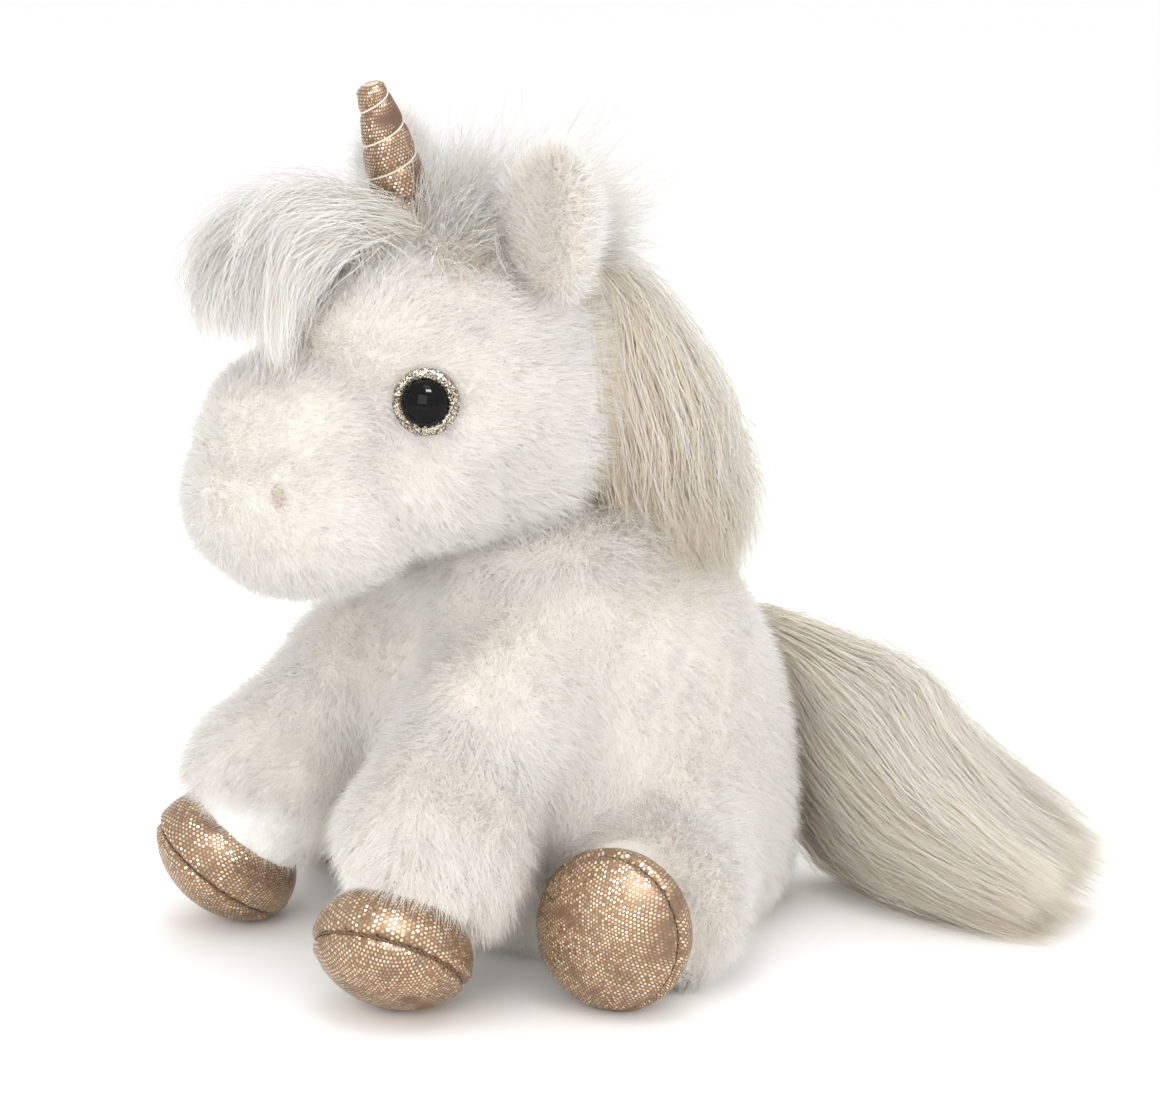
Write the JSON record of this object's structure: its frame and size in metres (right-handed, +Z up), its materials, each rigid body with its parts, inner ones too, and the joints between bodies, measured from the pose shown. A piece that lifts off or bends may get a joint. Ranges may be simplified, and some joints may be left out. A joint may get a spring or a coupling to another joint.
{
  "type": "plush unicorn",
  "caption": "Sitting stuffed unicorn with white pile covers, metallic foil hooves and horn, domed button eyes, and a long cream mane, forelock and tail",
  "frame": {"origin": "on the surface it sits on, below the middle of the seat panel, which the seat mount marks", "axes": "+Z up, the unicorn faces -Y and its left side is +X"},
  "size_m": [0.1926, 0.2418, 0.239],
  "materials": {
    "white_plush": "dense short white pile, soft and matt",
    "polyester_filling": "loose white polyester fibre",
    "bean_pouch": "plain woven pouch filled with plastic pellets",
    "gold_foil_fabric": "champagne knit printed with small metallic foil dots",
    "cream_hair": "long straight cream fibre with a soft shine",
    "thread": "beige sewing thread",
    "eye_black": "polished black plastic",
    "eye_glitter": "clear plastic over silver and gold glitter",
    "washer_plastic": "plain moulded plastic"
  },
  "bodies": {
    "torso": {"body_cover_left": "white_plush", "body_cover_right": "white_plush", "seat_panel": "white_plush", "body_stuffing": "polyester_filling", "bean_bag": "bean_pouch"},
    "neck": {"neck_cover": "white_plush", "neck_stuffing": "polyester_filling", "mane_hair_lower": "cream_hair"},
    "head": {"head_cover_left": "white_plush", "head_cover_right": "white_plush", "head_gusset": "white_plush", "chin_panel": "white_plush", "head_stuffing": "polyester_filling", "eye_button_left": "eye_black", "eye_button_right": "eye_black", "eye_ring_left": "eye_glitter", "eye_ring_right": "eye_glitter", "eye_washer_left": "washer_plastic", "eye_washer_right": "washer_plastic", "nostril_stitch_left": "thread", "nostril_stitch_right": "thread", "horn_cover": "gold_foil_fabric", "horn_stuffing": "polyester_filling", "horn_thread": "thread", "forelock_hair": "cream_hair", "mane_hair_upper": "cream_hair"},
    "left_ear": {"ear_back_left": "white_plush", "ear_lining_left": "white_plush"},
    "right_ear": {"ear_back_right": "white_plush", "ear_lining_right": "white_plush"},
    "front_left_leg": {"front_left_leg_cover": "white_plush", "front_left_leg_stuffing": "polyester_filling", "front_left_hoof_upper": "gold_foil_fabric", "front_left_hoof_sole": "gold_foil_fabric", "front_left_hoof_stuffing": "polyester_filling"},
    "front_right_leg": {"front_right_leg_cover": "white_plush", "front_right_leg_stuffing": "polyester_filling", "front_right_hoof_upper": "gold_foil_fabric", "front_right_hoof_sole": "gold_foil_fabric", "front_right_hoof_stuffing": "polyester_filling"},
    "hind_left_leg": {"hind_left_leg_cover": "white_plush", "hind_left_leg_stuffing": "polyester_filling", "hind_left_hoof_upper": "gold_foil_fabric", "hind_left_hoof_sole": "gold_foil_fabric", "hind_left_hoof_stuffing": "polyester_filling"},
    "hind_right_leg": {"hind_right_leg_cover": "white_plush", "hind_right_leg_stuffing": "polyester_filling", "hind_right_hoof_upper": "gold_foil_fabric", "hind_right_hoof_sole": "gold_foil_fabric", "hind_right_hoof_stuffing": "polyester_filling"},
    "tail": {"tail_hair": "cream_hair"}
  },
  "joints": [
    {"name": "head_turn", "type": "hinge", "parent": "torso", "child": "neck", "pos_m": [0, -0.018, 0.118], "axis": [0, 0, 1], "range_deg": [-15, 15], "stiffness_Nm_per_rad": 0.5},
    {"name": "head_nod", "type": "hinge", "parent": "neck", "child": "head", "pos_m": [0, -0.018, 0.118], "axis": [1, 0, 0], "range_deg": [-8, 8], "stiffness_Nm_per_rad": 1},
    {"name": "left_ear_fold", "type": "hinge", "parent": "head", "child": "left_ear", "pos_m": [0.0355, -0.035, 0.1895], "axis": [0.9627, 0.146, -0.2279], "range_deg": [-15, 15], "stiffness_Nm_per_rad": 0.01},
    {"name": "right_ear_fold", "type": "hinge", "parent": "head", "child": "right_ear", "pos_m": [-0.0355, -0.035, 0.1895], "axis": [0.9627, -0.146, 0.2279], "range_deg": [-15, 15], "stiffness_Nm_per_rad": 0.01},
    {"name": "front_left_leg_lift", "type": "hinge", "parent": "torso", "child": "front_left_leg", "pos_m": [0.032, -0.048, 0.069], "axis": [-0.9438, -0.3304, 0], "range_deg": [0, 25], "stiffness_Nm_per_rad": 0.3},
    {"name": "front_right_leg_lift", "type": "hinge", "parent": "torso", "child": "front_right_leg", "pos_m": [-0.032, -0.048, 0.069], "axis": [-0.9438, 0.3304, 0], "range_deg": [0, 25], "stiffness_Nm_per_rad": 0.3},
    {"name": "hind_left_leg_lift", "type": "hinge", "parent": "torso", "child": "hind_left_leg", "pos_m": [0.047, -0.004, 0.031], "axis": [-0.774, -0.6332, 0], "range_deg": [0, 20], "stiffness_Nm_per_rad": 0.3},
    {"name": "hind_right_leg_lift", "type": "hinge", "parent": "torso", "child": "hind_right_leg", "pos_m": [-0.047, -0.004, 0.031], "axis": [-0.774, 0.6332, 0], "range_deg": [0, 20], "stiffness_Nm_per_rad": 0.3},
    {"name": "tail_swing", "type": "hinge", "parent": "torso", "child": "tail", "pos_m": [0, 0.06, 0.052], "axis": [0, 0, 1], "range_deg": [-6, 25], "stiffness_Nm_per_rad": 0.02}
  ]
}
